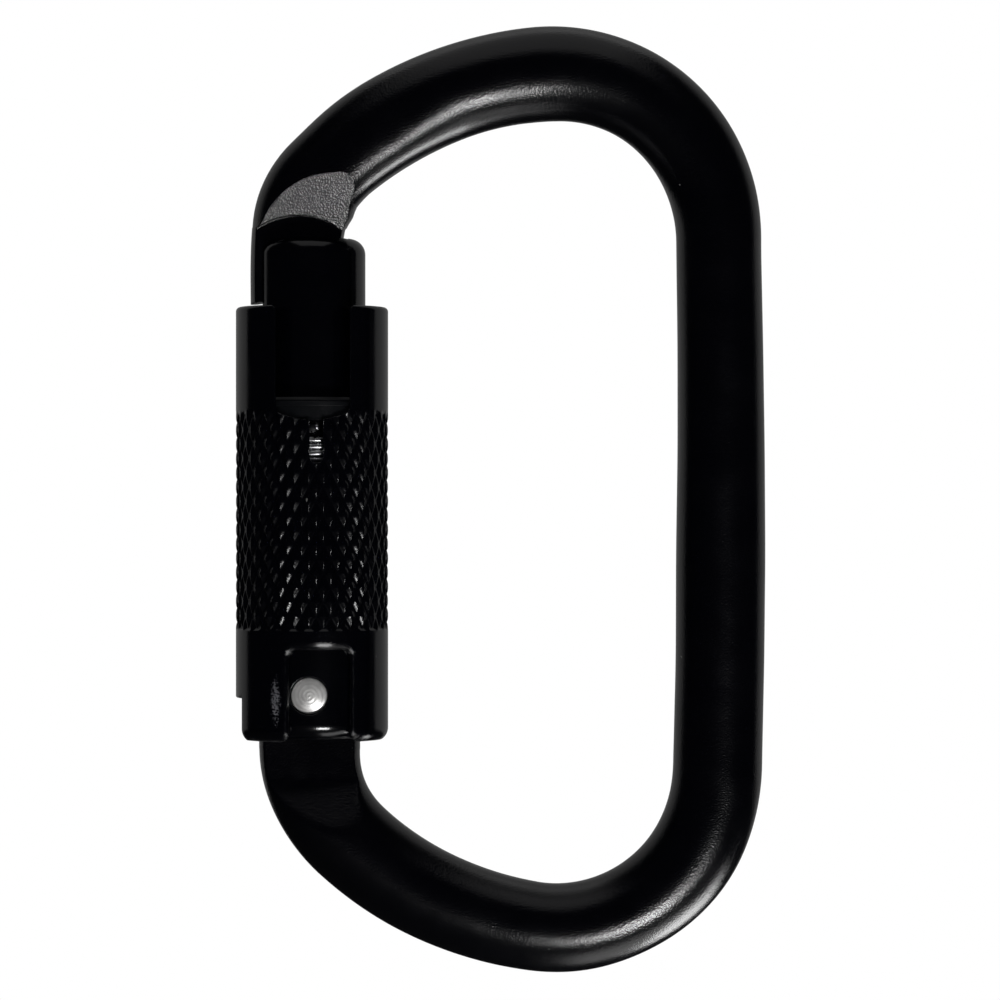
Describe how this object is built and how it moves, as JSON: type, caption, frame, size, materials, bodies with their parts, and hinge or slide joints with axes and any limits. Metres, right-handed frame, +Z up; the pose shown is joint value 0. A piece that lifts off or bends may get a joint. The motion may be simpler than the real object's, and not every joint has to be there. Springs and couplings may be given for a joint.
{
  "type": "locking carabiner",
  "caption": "Steel oval-style connector with a hinged gate and a knurled sleeve that lifts, turns and locks the gate; hangs from its top bow.",
  "frame": {"origin": "inside of the top bow at its highest point, where a sling or anchor bears", "axes": "+Z up along the spine towards the top bow, +X from the gate to the spine, -Y is the face with the sleeve's window and slot"},
  "size_m": [0.0604, 0.0174, 0.1083],
  "materials": {
    "body_coat": "satin black baked coating with a fine leathery grain on forged steel",
    "gate_coat": "satin black coating on turned steel",
    "sleeve_coat": "satin black coating on steel tube, worn at its edges",
    "rivet_steel": "bright turned steel",
    "pin_steel": "ground steel",
    "plunger_steel": "ground steel, oiled",
    "gate_spring_wire": "drawn spring wire",
    "ring_polymer": "black moulded polymer",
    "sleeve_spring_wire": "bright drawn spring wire"
  },
  "bodies": {
    "frame": {"body": "body_coat"},
    "gate": {"gate_barrel": "gate_coat", "hinge_rivet": "rivet_steel", "latch_pin": "pin_steel", "gate_spring": "gate_spring_wire", "sleeve_spring": "sleeve_spring_wire"},
    "plunger": {"spring_plunger": "plunger_steel"},
    "carrier": {"guide_ring": "ring_polymer"},
    "sleeve": {"locking_sleeve": "sleeve_coat"}
  },
  "joints": [
    {"name": "gate_swing", "type": "hinge", "parent": "frame", "child": "gate", "pos_m": [-0.02745, 0, -0.06555], "axis": [0, 1, 0], "range_deg": [0, 30], "stiffness_Nm_per_rad": 0.35, "springref_deg": -20.05},
    {"name": "plunger_slide", "type": "slide", "parent": "gate", "child": "plunger", "axis": [0, 0, 1], "range_m": [0, 0.00137], "deforming": ["gate_spring"]},
    {"name": "sleeve_lift", "type": "slide", "parent": "gate", "child": "carrier", "axis": [0, 0, 1], "range_m": [0, 0.0055], "stiffness_N_per_m": 400, "springref_m": -0.004, "deforming": ["sleeve_spring"]},
    {"name": "sleeve_twist", "type": "hinge", "parent": "carrier", "child": "sleeve", "pos_m": [-0.02745, 0, -0.04555], "axis": [0, 0, 1], "range_deg": [-90.2, 0]}
  ],
  "couplings": [
    {"joint": "plunger_slide", "follows": "gate_swing", "m_per_rad": 0.0026},
    {"joint": "sleeve_twist", "follows": "gate_swing", "ratio": -3}
  ]
}
